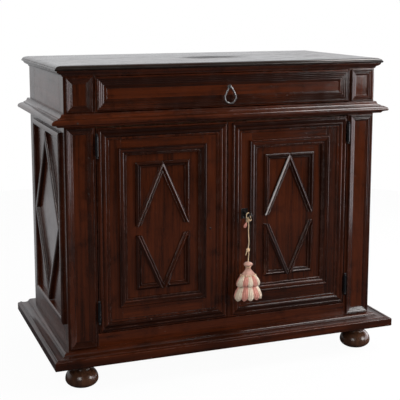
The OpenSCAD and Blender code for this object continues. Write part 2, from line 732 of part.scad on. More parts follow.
// Iron staple on the left door that takes the lock bolt
module lock_keeper() {
    color(iron) on_side(-1) difference() {
        board([keeper_x, door_t, bolt_z0 - 6],
            [keeper_x + keeper_w, bolt_y + bolt_t + 4, bolt_z0 + bolt_h + 6]);
        board([keeper_x - 1, door_t, bolt_z0 - iron_clear],
            [keeper_x + keeper_w + 1, bolt_y + bolt_t + iron_clear, bolt_z0 + bolt_h + iron_clear]);
    }
}
module lock_case() {
    color(iron) on_side(1) {
        difference() {
            board([lock_x0, door_t, lock_z0], [lock_x1, door_t + lock_d, lock_z1]);
            board([lock_x0 + lock_wall, door_t - 1, lock_z0 + lock_wall],
                [lock_x1 - lock_wall, door_t + lock_d - lock_wall, lock_z1 - lock_wall]);
            board([lock_x0 - 1, bolt_y - iron_clear, bolt_z0 - iron_clear],
                [lock_x0 + lock_wall + 1, bolt_y + bolt_t + iron_clear, bolt_z0 + bolt_h + iron_clear]);
        }
        difference() {
            board([key_x - plate_w / 2, -lock_wall, key_z - plate_down],
                [key_x + plate_w / 2, 0, key_z + plate_up]);
            translate([key_x, -lock_wall - 1, key_z]) rotate([-90, 0, 0])
                cylinder(h = lock_wall + 2, r = key_bore_r);
            board([key_x - bit_slot / 2, -lock_wall - 1, key_z - bit_r - 1],
                [key_x + bit_slot / 2, 1, key_z]);
        }
    }
}
module lock_bolt() {
    color(iron) on_side(1)
        board([lock_x0, bolt_y, bolt_z0], [lock_x1 - 22, bolt_y + bolt_t, bolt_z0 + bolt_h]);
}
module door_key() {
    bow_y = shank_out + bow_r;
    color(iron) on_side(1) translate([key_x, 0, key_z]) {
        translate([0, -shank_out, 0]) rotate([-90, 0, 0])
            cylinder(h = shank_out + door_t + lock_d - lock_wall - 1, r = shank_r);
        translate([0, -shank_out, 0]) rotate([-90, 0, 0]) cylinder(h = collar_w, r = collar_r);
        translate([0, -bow_y, 0]) rotate([0, 90, 0]) rotate_extrude()
            translate([bow_r, 0]) circle(r = bow_wire);
        board([-bit_t / 2, bolt_y + iron_clear, -bit_r], [bit_t / 2, bolt_y + bolt_t, 0]);
    }
}

// Key cord: a swept tube, and the tassel that hangs on it
cord_sides = 8;
function unit(v) = v / norm(v);
function cord_way(i) = unit(cord_points[min(i + 1, len(cord_points) - 1)] - cord_points[max(i - 1, 0)]);
function cord_ring(i) = let (t = cord_way(i), u = unit(cross(t, [0, 1, 0])), v = cross(t, u))
    [for (k = [0 : cord_sides - 1]) let (a = 360 * k / cord_sides)
        cord_points[i] + cord_d / 2 * (cos(a) * u + sin(a) * v)];
module key_cord() {
    n = len(cord_points);
    rings = [for (i = [0 : n - 1]) each cord_ring(i)];
    walls = [for (i = [0 : n - 2], k = [0 : cord_sides - 1]) let (a = i * cord_sides + k,
        b = i * cord_sides + (k + 1) % cord_sides)
            each [[a, b, a + cord_sides], [b, b + cord_sides, a + cord_sides]]];
    ends = [[for (k = [0 : cord_sides - 1]) cord_sides - 1 - k],
        [for (k = [0 : cord_sides - 1]) (n - 1) * cord_sides + k]];
    color("#d9c08a") on_side(1) translate([key_x, 0, key_z]) polyhedron(rings, concat(walls, ends));
}
module key_tassel() {
    r = tassel_r;
    l = tassel_l;
    color("#e0b0a0") on_side(1) translate([key_x, tassel_y, tassel_top - l]) intersection() {
        rotate_extrude() polygon([[0, 0], [r * 0.8, 0], [r * 0.98, l * 0.05], [r, l * 0.11],
            [r * 0.8, l * 0.31], [r * 0.9, l * 0.35], [r * 0.87, l * 0.42], [r * 0.56, l * 0.66],
            [r * 0.2, l * 0.82], [r * 0.17, l * 0.86], [r * 0.33, l * 0.885], [r * 0.33, l * 0.95],
            [r * 0.22, l], [0, l]]);
        board([-r - 1, -tassel_d / 2, -1], [r + 1, tassel_d / 2, l + 1]);
    }
}

// Drawer
module drawer_front() {
    color(walnut) at_front() difference() {
        board([-drawer_x, 0, drawer_z0], [drawer_x, drawer_front_t, drawer_z1]);
        translate([ring_x, -1, eye_z]) rotate([-90, 0, 0])
            cylinder(h = drawer_front_t + 2, r = eye_shank_r + pin_clear);
    }
}
module drawer_moulding() {
    color(walnut) at_front() mitred_frame(-drawer_x + drawer_edge, drawer_z0 + drawer_edge,
        2 * (drawer_x - drawer_edge), drawer_z1 - drawer_z0 - 2 * drawer_edge, drawer_mould_w,
        sized(stepped_line, drawer_mould_w, drawer_mould_h));
}
module drawer_sides() {
    color(inner_wood) for (side = [-1, 1]) on_side(side)
        board([drawer_in_x, drawer_front_t, side_z0], [drawer_in_x + drawer_side_t, drawer_l, side_z1]);
}
module drawer_back() {
    color(inner_wood) at_front() board([-drawer_in_x, drawer_l - drawer_thin_t, floor_z0 + drawer_thin_t],
        [drawer_in_x, drawer_l, side_z1]);
}
module drawer_bottom() {
    color(inner_wood) at_front() board([-drawer_in_x, drawer_front_t, floor_z0],
        [drawer_in_x, drawer_l, floor_z0 + drawer_thin_t]);
}
module ring_staple() {
    color(iron) at_front() translate([ring_x, 0, eye_z]) {
        translate([0, -ring_plate_t, 0]) rotate([-90, 0, 0]) cylinder(h = ring_plate_t, r = ring_plate_r);
        translate([0, -ring_out + eye_r - weld, 0]) rotate([-90, 0, 0])
            cylinder(h = ring_out - eye_r + weld + drawer_front_t + 3, r = eye_shank_r);
        translate([0, -ring_out, 0]) rotate([0, 90, 0]) rotate_extrude()
            translate([eye_r, 0]) circle(r = eye_wire);
    }
}
// A drop-shaped ring: two bends joined by straight legs, hanging in the staple's eye
module ring_pull() {
    lean = asin((ring_r - ring_eye_r) / ring_l);
    leg_l = ring_l * cos(lean);
    color(iron) at_front() translate([ring_x, -ring_out, eye_z - ring_eye_r]) {
        rotate([90, 0, 0]) rotate([0, 0, lean]) rotate_extrude(angle = 180 - 2 * lean)
            translate([ring_eye_r, 0]) circle(r = ring_wire_r);
        translate([0, 0, -ring_l]) rotate([90, 0, 0]) rotate([0, 0, 180 - lean])
            rotate_extrude(angle = 180 + 2 * lean) translate([ring_r, 0]) circle(r = ring_wire_r);
        for (m = [0, 1]) mirror([m, 0, 0]) translate([ring_eye_r * cos(lean), 0, ring_eye_r * sin(lean)])
            rotate([0, 180 - lean, 0]) translate([0, 0, -weld])
                cylinder(h = leg_l + 2 * weld, r = ring_wire_r - 0.02);
    }
}

front_post(-1);  // front_left_post
front_post(1);  // front_right_post
rear_posts();
side_panel(-1);  // left_side_panel
side_panel(1);  // right_side_panel
side_bottom_rails();
frieze_side_boards();
side_moulding(-1);  // left_side_moulding
side_moulding(1);  // right_side_moulding
front_bottom_rail();
waist_rail();
top_rail();
post_mouldings();
top_board();
top_moulding_front();
top_moulding_returns();
waist_moulding_front();
waist_moulding_returns();
base_moulding_front();
base_moulding_returns();
base_back_rail();
bottom_board();
bun_feet();
back_boards();
shelf();
shelf_cleats();
dust_board();
drawer_runners();
drawer_guides();
door_stop();
hinge_pintles();
door_stiles(-1);  // left_door_stiles
door_rails(-1);  // left_door_rails
door_panel(-1);  // left_door_panel
door_edge_moulding(-1);  // left_door_edge_moulding
door_panel_moulding(-1);  // left_door_panel_moulding
door_lozenge(-1);  // left_door_lozenge
hinge_eyes(-1);  // left_hinge_eyes
slide_bolt_staples();
lock_keeper();
slide_bolt();
door_stiles(1);  // right_door_stiles
door_rails(1);  // right_door_rails
door_panel(1);  // right_door_panel
door_edge_moulding(1);  // right_door_edge_moulding
door_panel_moulding(1);  // right_door_panel_moulding
door_lozenge(1);  // right_door_lozenge
hinge_eyes(1);  // right_hinge_eyes
lock_case();
lock_bolt();
door_key();
key_cord();
key_tassel();
drawer_front();
drawer_moulding();
drawer_sides();
drawer_back();
drawer_bottom();
ring_staple();
ring_pull();
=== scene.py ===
import bpy, bmesh, json, math, random
from mathutils import Matrix, Vector

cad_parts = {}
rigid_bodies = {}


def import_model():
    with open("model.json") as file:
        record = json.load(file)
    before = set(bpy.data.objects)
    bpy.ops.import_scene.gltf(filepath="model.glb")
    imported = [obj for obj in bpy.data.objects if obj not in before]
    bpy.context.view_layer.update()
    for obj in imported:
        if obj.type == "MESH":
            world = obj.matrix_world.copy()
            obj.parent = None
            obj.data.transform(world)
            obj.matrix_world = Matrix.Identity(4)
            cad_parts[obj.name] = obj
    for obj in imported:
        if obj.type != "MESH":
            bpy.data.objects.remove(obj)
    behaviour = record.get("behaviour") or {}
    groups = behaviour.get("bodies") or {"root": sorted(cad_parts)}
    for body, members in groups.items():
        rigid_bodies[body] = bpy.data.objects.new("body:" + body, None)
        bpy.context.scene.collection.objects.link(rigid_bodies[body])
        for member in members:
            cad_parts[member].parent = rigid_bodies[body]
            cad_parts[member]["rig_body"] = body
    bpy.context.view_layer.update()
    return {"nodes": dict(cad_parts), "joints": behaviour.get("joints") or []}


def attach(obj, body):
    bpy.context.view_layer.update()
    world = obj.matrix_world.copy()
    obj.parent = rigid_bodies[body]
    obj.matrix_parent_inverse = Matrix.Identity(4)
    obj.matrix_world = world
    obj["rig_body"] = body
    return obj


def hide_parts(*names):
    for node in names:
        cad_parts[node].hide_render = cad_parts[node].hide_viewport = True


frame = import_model()


# The place the cupboard is seen from: left of its middle and a little above the top, through a
# long lens whose rise keeps the posts nearly upright.
camera = bpy.data.objects.new("camera", bpy.data.cameras.new("camera"))
camera.data.lens = 85.37
camera.data.sensor_width = 36
camera.data.shift_y = -0.125
camera.location = (-1.172, -3.0705, 1.215)
down_tilt, turn_right = 8.97, 20.89
camera.rotation_euler = (math.radians(90 - down_tilt), 0, math.radians(-turn_right))
bpy.context.scene.collection.objects.link(camera)
bpy.context.scene.camera = camera


# The key's cord: three plies of cream cotton laid up into a soft 3 mm cord, passed through the
# key's bow. Its short end hangs beside the knot, and its long end runs down to the tassel.
class Tone:
    """A shader socket that takes part in sums. node() adds any other node, from its type,
    its inputs by name or number, and its settings, which are made first."""

    def __init__(self, socket):
        self.socket = socket

    def node(self, kind, inputs, settings=None, result=0):
        tree = self.socket.id_data
        made = tree.nodes.new("ShaderNode" + kind)
        for key, value in (settings or {}).items():
            setattr(made, key, value)
        for key, value in inputs.items():
            if isinstance(value, Tone):
                tree.links.new(value.socket, made.inputs[key])
            else:
                made.inputs[key].default_value = value
        return Tone(made.outputs[result])

    def maths(self, operation, first, second):
        return self.node("Math", {0: first, 1: second}, {"operation": operation})

    def __add__(self, other): return self.maths("ADD", self, other)
    def __radd__(self, other): return self.maths("ADD", other, self)
    def __sub__(self, other): return self.maths("SUBTRACT", self, other)
    def __rsub__(self, other): return self.maths("SUBTRACT", other, self)
    def __mul__(self, other): return self.maths("MULTIPLY", self, other)
    def __rmul__(self, other): return self.maths("MULTIPLY", other, self)

    def between(self, low, high):
        """A mask that rises softly from 0 at low to 1 at high."""
        return self.node("MapRange", {"Value": self, "From Min": low, "From Max": high},
                         {"interpolation_type": "SMOOTHSTEP"})

    def stretched(self, along, across, up):
        """These coordinates, crowded together by one number for each direction."""
        return self.node("VectorMath", {0: self, 1: (along, across, up)}, {"operation": "MULTIPLY"})

    def noise(self, scale, detail=3.0, rough=0.55, warp=0.0):
        """Cloudy patches at these coordinates, so many to the metre."""
        return self.node("TexNoise", {"Vector": self, "Scale": scale, "Detail": detail,
                                      "Roughness": rough, "Distortion": warp})

    def mixed(self, first, second):
        """Two colours mixed by this mask."""
        return self.node("Mix", {0: self, 6: first, 7: second}, {"data_type": "RGBA"}, 2)

    def bump(self, strength, distance):
        """The surface's slope where this height is raised by so many metres."""
        return self.node("Bump", {"Strength": strength, "Distance": distance, "Height": self})


def finish(name, build, **constants):
    """A material whose changing sockets come from build(place), place being Object coordinates."""
    material = bpy.data.materials.new(name)
    material.use_nodes = True
    tree = material.node_tree
    shader = tree.nodes["Principled BSDF"]
    place = Tone(tree.nodes.new("ShaderNodeTexCoord").outputs["Object"])
    for key, value in constants.items():
        shader.inputs[key.replace("_", " ")].default_value = value
    for key, tone in build(place).items():
        tree.links.new(tone.socket, shader.inputs[key])
    return material


def piece(name, bm, material, body, slot, *stands_for):
    """The finished mesh as a named piece that rides on a body. It shades smooth, except over
    sharp edges and over the mitres between two lengths of wood."""
    run = bm.faces.layers.int.get("run")
    sharp = math.radians(38)
    for e in bm.edges:
        if e.is_manifold:
            one, other = e.link_faces
            e.smooth = e.calc_face_angle() < sharp and (not run or one[run] == other[run])
    for face in bm.faces:
        face.smooth = True
    mesh = bpy.data.meshes.new(name)
    bm.to_mesh(mesh)
    bm.free()
    mesh.materials.append(material)
    made = bpy.data.objects.new(name, mesh)
    made.modifiers.new("flat_faces", "WEIGHTED_NORMAL").keep_sharp = True
    bpy.context.scene.collection.objects.link(made)
    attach(made, body)
    if stands_for:
        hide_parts(*stands_for)
    return made


def smooth_line(points, steps):
    """Points on a smooth curve through the given ones."""
    ends = [points[0] * 2 - points[1]] + points + [points[-1] * 2 - points[-2]]
    line = []
    for a, b, c, d in zip(ends, ends[1:], ends[2:], ends[3:]):
        for i in range(steps):
            t = i / steps
            line.append(0.5 * (2 * b + (c - a) * t + (2 * a - 5 * b + 4 * c - d) * t * t
                               + (3 * b - a - 3 * c + d) * t ** 3))
    return line + [points[-1]]


def laid_cord(bm, line, radius, sides=15, pitch=0.011):
    """A three-ply cord: a lobed ring extruded along the line, turning once every pitch."""
    plies, swell = 3, 0.08
    ring = bmesh.ops.create_circle(bm, segments=sides, radius=radius)["verts"]
    for v in ring:
        v.co *= 1 + swell * math.cos(plies * math.atan2(v.co.y, v.co.x))
    heading = (line[1] - line[0]).normalized()
    turn = Vector((0, 0, 1)).rotation_difference(heading).to_matrix().to_4x4()
    bmesh.ops.transform(bm, verts=ring, matrix=Matrix.Translation(line[0]) @ turn)
    edges = list({e for v in ring for e in v.link_edges})
    bmesh.ops.contextual_create(bm, geom=edges)
    for here, there in zip(line, line[1:]):
        ahead = (there - here).normalized()
        new = bmesh.ops.extrude_edge_only(bm, edges=edges)["geom"]
        edges = [g for g in new if isinstance(g, bmesh.types.BMEdge)]
        turn = (Matrix.Rotation(math.tau * (there - here).length / pitch, 4, ahead)
                @ heading.rotation_difference(ahead).to_matrix().to_4x4())
        bmesh.ops.transform(bm, verts=[g for g in new if isinstance(g, bmesh.types.BMVert)],
                            matrix=Matrix.Translation(there) @ turn @ Matrix.Translation(-here))
        heading = ahead
    bmesh.ops.contextual_create(bm, geom=edges)
    bmesh.ops.recalc_face_normals(bm, faces=bm.faces)


def cotton(light, dark):
    """Spun cotton: short fibres, and grime from hands in cloudy patches."""
    def build(place):
        fibre = place.noise(900, 2)
        grime = place.noise(38, 3).between(0.35, 0.75)
        return {"Base Color": (grime * 0.6 + fibre * 0.4).mixed(light, dark),
                "Normal": fibre.bump(0.5, 0.0006)}
    return build


key_axis = Vector(next(j for j in frame["joints"] if j["name"] == "key_turn")["pos_m"])


def by_the_key(*points):
    """Places given in millimetres from the key's axis."""
    return [key_axis + Vector(p) / 1000 for p in points]


cord_route = by_the_key(
    (-10, -31, -41), (-8, -31, -34), (-4.5, -31, -27), (0, -31.5, -21), (4, -32.5, -14),
    (6.4, -33, -7), (6.2, -33, 0), (4.4, -33, 4.4), (0, -33, 6.2), (-4.4, -33, 4.4),
    (-6.2, -33, 0), (-6.4, -33.3, -7), (-4, -34.5, -14), (-1, -36, -22), (0, -37, -30),
    (0, -37, -38), (-0.5, -37, -46), (-0.5, -36.5, -54), (0, -36.5, -62), (0.5, -36, -70),
    (1, -36, -78), (1.5, -36, -86), (2, -36, -94), (1, -36, -102), (-0.5, -36, -110),
    (-1, -36, -118), (1, -36, -126), (1.5, -36, -134), (0.5, -36, -142), (0, -36, -150),
    (0, -36, -159))
cord_d = 0.0032
cream_cord = finish("cream_cord", cotton((0.97, 0.74, 0.47, 1), (0.70, 0.43, 0.24, 1)),
                    Roughness=0.8, Sheen_Weight=0.3)
cord_line = smooth_line(cord_route, 4)
bm = bmesh.new()
laid_cord(bm, cord_line, cord_d / 2)
key_cord = piece("key_cord_plies", bm, cream_cord, "right_door", "cord", "key_cord")


# Two knots in the cord: the one that closes the loop under the bow, and a small one half-way
# down whose cut end sticks out to the left. Both are turns of the same cord drawn tight.
knots = bmesh.new()
rise, slant, points_round = 2.6, 1.5, 14
for (x, y, z), turns, spread in (((1, -35.5, -14), 5.2, 8.0), ((-1.5, -36, -119), 3.4, 4.4)):
    coil = by_the_key(*[(x + spread * math.cos(a), y + spread * math.sin(a),
                         z + rise * (a / math.tau - turns / 2) + slant * math.cos(a))
                        for a in (i * math.tau / points_round
                                  for i in range(int(points_round * turns) + 1))])
    laid_cord(knots, coil, cord_d / 2, sides=9)
cut_end_r = 0.0014
cut_end = by_the_key((-1.5, -37.5, -118), (-4.5, -38, -120), (-7.5, -38.3, -125), (-9, -38, -131),
                     (-9.5, -37.5, -135))
laid_cord(knots, smooth_line(cut_end, 4), cut_end_r, sides=9)
cord_knots = piece("cord_knots", knots, cream_cord, "right_door", "cord")


# The skirt of the tassel: two tiers of ten tufts each, ivory and salmon by turns, bundles of cotton
# thread bound at their tops. They hang round the foot of the bell, pressed flat to the door.
def tuft(bm, root, tip, width, depth, outward, seed):
    """A bundle of cotton threads from root to tip: a drop shape with a ridge for every thread."""
    strands, proud, uneven = 13, 0.07, 0.13
    root_width, swell, closing = 0.42, 0.75, 0.17
    chance = random.Random(seed)
    lift = [chance.uniform(0, uneven) for _ in range(strands)]
    ball = bmesh.ops.create_uvsphere(bm, u_segments=4 * strands, v_segments=18, radius=1,
                                     calc_uvs=True)["verts"]
    for v in ball:
        strand = (math.atan2(v.co.y, v.co.x) / math.tau * strands) % strands
        down = (1 - v.co.z) / 2
        ridge = 1 + proud * math.cos(math.tau * strand)
        drop = (root_width + swell * down - closing * down ** 4) * ridge
        v.co.x *= drop
        v.co.y *= drop
        v.co.z += lift[int(strand)] * down ** 3
    across = Vector((0, 0, 1)).cross(outward).normalized()
    upward = (root - tip).normalized()
    facing = across.cross(upward) * -1
    turn = Matrix((across, facing, upward)).transposed().to_4x4()
    bmesh.ops.transform(bm, verts=ball, matrix=Matrix.Translation((root + tip) / 2) @ turn
                        @ Matrix.Diagonal((width / 2, depth / 2, (tip - root).length / 2, 1)))


def tuft_mesh():
    """An empty mesh with a UV map, along which the threads of its tufts will run."""
    bm = bmesh.new()
    bm.loops.layers.uv.new("threads")
    return bm


def threads(light, dark):
    """Loose cotton threads, with painted light on their backs and painted shade in the gaps between
    them.
    """
    def build(place):
        rib = place.node("UVMap", {}, {"uv_map": "threads"}).stretched(120, 5, 1).noise(1, 2)
        fibre = place.noise(700, 2)
        # Painted light on each thread's back and painted shade in the gaps between the threads.
        shade = (rib * 0.65 + place.noise(60, 2) * 0.35).between(0.3, 0.72)
        return {"Base Color": shade.mixed(light, dark),
                "Normal": (rib * 0.8 + fibre * 0.2).bump(0.6, 0.0015)}
    return build


tassel_top = cord_route[-1]
ivory = finish("ivory_threads", threads((0.95, 0.82, 0.64, 1), (0.56, 0.39, 0.27, 1)),
               Roughness=0.75, Sheen_Weight=0.4)
salmon = finish("salmon_threads", threads((0.80, 0.35, 0.27, 1), (0.46, 0.16, 0.12, 1)),
                Roughness=0.75, Sheen_Weight=0.4)

# The tufts stand at even steps along the oval rim of the skirt.
half_wide, half_deep, tufts_round, rim_points = 0.049, 0.026, 10, 720
rim = [Vector((half_wide * math.cos(a), half_deep * math.sin(a), 0))
       for a in (i * math.tau / rim_points for i in range(rim_points + 1))]
reached = [0.0]
for a, b in zip(rim, rim[1:]):
    reached.append(reached[-1] + (b - a).length)
spots = []
for i in range(tufts_round):
    goal = reached[-1] * (i + 0.5) / tufts_round
    spots.append(next(spot for spot, far in zip(rim, reached) if far >= goal))

# Each tier's top and foot below the tassel's top, how far out on the rim they stand, and its width.
tiers = ((0.034, 0.082, 0.28, 0.80, 0.029), (0.064, 0.128, 0.36, 0.95, 0.032))
thickness = 0.7
for name, first, material, *solid in (("ivory", 1, ivory, "key_tassel"), ("salmon", 0, salmon)):
    bm = tuft_mesh()
    for i in range(first, tufts_round, 2):
        x, y = spots[i].x, spots[i].y
        outward = Vector((x / half_wide ** 2, y / half_deep ** 2, 0)).normalized()
        for tier, (top, foot, top_share, foot_share, wide) in enumerate(tiers):
            tuft(bm, tassel_top + Vector((x * top_share, y * top_share, -top)),
                 tassel_top + Vector((x * foot_share, y * foot_share, -foot)),
                 wide, wide * thickness, outward, seed=40 * tier + i)
    bmesh.ops.recalc_face_normals(bm, faces=bm.faces)
    piece("tassel_tufts_" + name, bm, material, "right_door", "tassel", *solid)


# The head of the tassel: a wooden mould turned with a button, a waist and a bell, wound with pink
# cotton thread. The button and the waist are round, and the bell is pressed flat over the tufts.
def flattened(level):
    """The head's depth for its width, at a level below its top."""
    bell_depth, bell_starts, neck = 0.62, -0.030, 0.012
    return bell_depth + (1 - bell_depth) * min(1, max(0, (level - bell_starts) / neck))


# The mould's outline, as distances out from its middle and up from its top in millimetres.
bm = bmesh.new()
mould = [(0.5, 0), (7, -0.6), (12.5, -3.4), (14.5, -7.5), (13.5, -11), (9.5, -13.5), (8, -16),
         (7.8, -20), (9.4, -24.5), (12.5, -29), (16, -33), (20, -37.5), (24, -43), (23, -46), (18, -45)]
verts = [bm.verts.new(Vector((radius, 0, level)) / 1000) for radius, level in mould]
edges = [bm.edges.new(pair) for pair in zip(verts, verts[1:])]
bmesh.ops.subdivide_edges(bm, edges=edges, cuts=2, smooth=0.4)
bmesh.ops.spin(bm, geom=bm.verts[:] + bm.edges[:], cent=(0, 0, 0), axis=(0, 0, 1), dvec=(0, 0, 0),
               angle=math.tau, steps=112, use_merge=True)
bmesh.ops.remove_doubles(bm, verts=bm.verts, dist=1e-6)
windings, proud = 28, 0.035
for v in bm.verts:
    ridge = 1 + proud * math.cos(windings * math.atan2(v.co.y, v.co.x))
    v.co = Vector((v.co.x * ridge, v.co.y * ridge * flattened(v.co.z), v.co.z)) + tassel_top
bmesh.ops.recalc_face_normals(bm, faces=bm.faces)
pink = finish("head_threads", cotton((0.72, 0.42, 0.33, 1), (0.42, 0.21, 0.155, 1)),
              Roughness=0.75, Sheen_Weight=0.4)
piece("tassel_head", bm, pink, "right_door", "tassel")


# Ties of cream cord: two turns bind the waist under the button, and one runs round the foot of the
# bell, where a little knot holds each tuft.
bm = bmesh.new()
tie_r, tie_pitch, loop_points = 0.0012, 0.007, 48
for level, radius in ((-0.0135, 0.0094), (-0.0165, 0.0086), (-0.0425, 0.0242)):
    depth = radius * flattened(level)
    loop = [tassel_top + Vector((radius * math.cos(a), depth * math.sin(a), level))
            for a in (i * math.tau / loop_points for i in range(loop_points + 1))]
    laid_cord(bm, loop, tie_r, sides=9, pitch=tie_pitch)
knot_r, knot_level, along_share, out_share = 0.0030, -0.0440, 0.52, 0.66
for spot in spots:
    knot = bmesh.ops.create_icosphere(bm, subdivisions=2, radius=knot_r)["verts"]
    place = Vector((spot.x * along_share, spot.y * out_share, knot_level))
    bmesh.ops.translate(bm, verts=knot, vec=tassel_top + place)
piece("tassel_ties", bm, cream_cord, "right_door", "tassel")


# The short side of the cord ends beside the upper knot, where its cut end is bound with salmon
# thread and has frayed into a small tuft.
bm = tuft_mesh()
tuft(bm, cord_route[2] + Vector((-0.001, 0, 0.002)), cord_route[0] + Vector((-0.001, 0, -0.003)),
     width=0.013, depth=0.010, outward=Vector((0, -1, 0)), seed=7)
bmesh.ops.recalc_face_normals(bm, faces=bm.faces)
piece("cord_end_tuft", bm, salmon, "right_door", "tassel")
sum((b - a).length for a, b in zip(cord_line, cord_line[1:]))


# The frame of the cupboard and of its doors: posts, stiles and rails of solid walnut, tenoned together
# and stained a nearly black red-brown under old wax. Each board keeps its own streaks along its
# length, and its outer edges are rounded and painted lighter: partly rubbed by handling, partly a
# painted highlight.
def lengths_of_wood(bm, run, chance):
    """Marks each face with the length of wood that it belongs to. Gives for every length its way
    along the grain, a shift for its figure, and its tint. Solids that don't touch are lengths of
    their own, and so is each straight stretch of a moulding."""
    of_run = bm.faces.layers.int.new("run")
    runs, seen = [], set()
    for first in bm.faces:
        if first in seen:
            continue
        block, edge = [], [first]
        seen.add(first)
        while edge:
            face = edge.pop()
            block.append(face)
            for e in face.edges:
                for other in e.link_faces:
                    if other not in seen:
                        seen.add(other)
                        edge.append(other)
        low = Vector(min(v.co[k] for f in block for v in f.verts) for k in range(3))
        high = Vector(max(v.co[k] for f in block for v in f.verts) for k in range(3))
        size = high - low
        longest = max(range(3), key=lambda k: size[k])
        own = {}
        for face in block:
            way = Vector((0, 0, 0))
            way["xyz".index(run) if run in "xyz" else longest] = 1
            if run == "moulding":
                creases = [e for e in face.edges if e.is_manifold and e.calc_face_angle() > 0.02]
                if creases:
                    e = max(creases, key=lambda e: e.calc_length())
                    way = (e.verts[1].co - e.verts[0].co).normalized()
            if way[max(range(3), key=lambda k: abs(way[k]))] < 0:
                way = -way
            key = tuple(round(c, 1) for c in way)
            if key not in own:
                own[key] = len(runs)
                runs.append((way, Vector([chance.uniform(0, 9) for _ in range(3)]), chance.random()))
            face[of_run] = own[key]
    return runs


def worn_copy(node, arris, run):
    """A copy of a CAD node with merged faces and rounded edges. Its corners carry a place measured
    along and across the grain. Rounded outer edges are marked 1, and inner ones -1."""
    bm = bmesh.new()
    bm.from_mesh(frame["nodes"][node].data)
    bmesh.ops.remove_doubles(bm, verts=bm.verts, dist=2e-6)
    bmesh.ops.dissolve_limit(bm, angle_limit=math.radians(0.4), verts=bm.verts, edges=bm.edges)
    bmesh.ops.recalc_face_normals(bm, faces=bm.faces)
    runs = lengths_of_wood(bm, run, random.Random(node))
    worn = bm.faces.layers.float.new("worn")
    board = bm.faces.layers.float.new("board")
    grain = bm.loops.layers.float_vector.new("grain")
    of_run = bm.faces.layers.int["run"]
    shortest, bluntest = 8 * arris, math.radians(32)
    for mark in (1, -1) if arris else ():
        edges = [e for e in bm.edges if e.is_manifold and e.calc_length() > shortest
                 and e.calc_face_angle_signed() * mark > bluntest]
        rounded = bmesh.ops.bevel(bm, geom=edges, offset=arris, offset_type="OFFSET", segments=2,
                                  profile=0.5, affect="EDGES", clamp_overlap=True, material=-1)
        for face in rounded["faces"]:
            face[worn] = mark
    for face in bm.faces:
        way, shift, tint = runs[face[of_run]]
        side = Vector((1, 0, 0)) if abs(way.y) > 0.7 else Vector((0, 1, 0))
        across = way.cross(side).normalized()
        up = across.cross(way)
        face[board] = tint
        for loop in face.loops:
            p = loop.vert.co
            loop[grain] = Vector((p.dot(way), p.dot(across), p.dot(up))) + shift
    return bm


def old_wood(dark, middle, warm, rubbed, tint, gloss):
    """Streaked wood: broad figure, growth lines, pores, each board's own tint, grime and rubbing.
    Outer edges are painted lighter, partly rubbing and partly a painted highlight, and inner creases
    darker, partly grime and partly painted shade. Its colours are the gaps', the plain wood's, the
    warm streaks' and the worn edges'; the gaps' colour also paints the crease shade, and the worn
    edges' colour the highlight."""
    def build(place):
        grain = place.node("Attribute", {}, {"attribute_name": "grain"}, 1)
        worn = place.node("Attribute", {}, {"attribute_name": "worn"}, 2)
        board = place.node("Attribute", {}, {"attribute_name": "board"}, 2)
        figure = grain.stretched(1.6, 13, 13).noise(1, 3, 0.6, 0.8)
        lines = grain.stretched(4, 90, 90).noise(1, 3, 0.6, 0.3)
        pores = grain.stretched(70, 900, 900).noise(1, 2, 0.6)
        patches = place.noise(4.5, 3, 0.5, 0.4)
        heat = (figure * 0.5 + patches * 0.4 + lines * 0.25 + board * 0.22 + tint).between(0.45, 0.88)
        shade = (lines * 0.6 + pores * 0.4).between(0.28, 0.62)
        colour = heat.mixed(middle, warm)
        colour = (0.35 + shade * 0.65).mixed(dark, colour)
        grime = place.noise(16, 4, 0.6).between(0.50, 0.74)
        colour = (grime * 0.5).mixed(colour, dark)
        # Outer edges are painted lighter: partly real rubbing, partly a painted highlight along the
        # arris.
        rub_and_highlight = worn.maths("MAXIMUM", worn, 0) * place.noise(30, 4, 0.6).between(0.36, 0.66)
        # Inner creases are painted darker: partly wax grime, partly painted shade where the hollows lie
        # in shadow.
        crease_grime_and_shade = worn.maths("MAXIMUM", 0 - worn, 0) * place.noise(24, 3, 0.6).between(0.15, 0.4)
        marks = place.stretched(1, 1, 2.2).noise(85, 2, 0.4).between(0.735, 0.775)
        scratches_and_highlight = rub_and_highlight * 0.28 + marks * place.noise(7, 2).between(0.50, 0.66) * 0.8
        colour = (crease_grime_and_shade * 0.85).mixed(scratches_and_highlight.mixed(colour, rubbed), dark)
        rough = (gloss + place.noise(22, 4, 0.65).between(0.3, 0.8) * 0.09 + (1 - shade) * 0.05
                 + crease_grime_and_shade * 0.3 + rub_and_highlight * 0.14)
        height = lines * 0.3 + pores * 0.25 + place.noise(26, 2) * 0.22 - marks * 0.5
        return {"Base Color": colour, "Roughness": rough, "Normal": height.bump(0.22, 0.0012)}
    return build


def joinery(names, material, arris, run="boards", slot="walnut"):
    """Worn copies of CAD nodes in one wood, each standing for its node."""
    for node in names.split():
        piece(node + "_worn", worn_copy(node, arris, run), material,
              frame["nodes"][node]["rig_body"], slot, node)


# The worn edges' colour: bare wood, which also paints a highlight along the arrises.
edge_wear_and_highlight = (0.13, 0.075, 0.06, 1)
stained = ((0.006, 0.0020, 0.0012, 1), (0.021, 0.0052, 0.0022, 1), (0.082, 0.0170, 0.0050, 1), edge_wear_and_highlight)


def walnut(name, tint, gloss=0.14, shine=0.5):
    """The stained walnut, redder with a higher tint, and polished more with a lower gloss."""
    return finish(name, old_wood(*stained, tint, gloss), Specular_IOR_Level=shine)


board_arris = 0.0009
walnut_frame = walnut("walnut_frame", 0.02)
walnut_field = walnut("walnut_field", 0.10, gloss=0.12)
joinery("front_left_post", walnut_field, board_arris)
# The right front post is redder and glossier than the left one.
joinery("front_right_post", walnut("walnut_redder", 0.70, gloss=0.09), board_arris)
joinery("rear_posts side_bottom_rails frieze_side_boards front_bottom_rail waist_rail top_rail "
        "left_door_stiles right_door_stiles left_door_rails right_door_rails", walnut_frame, board_arris)


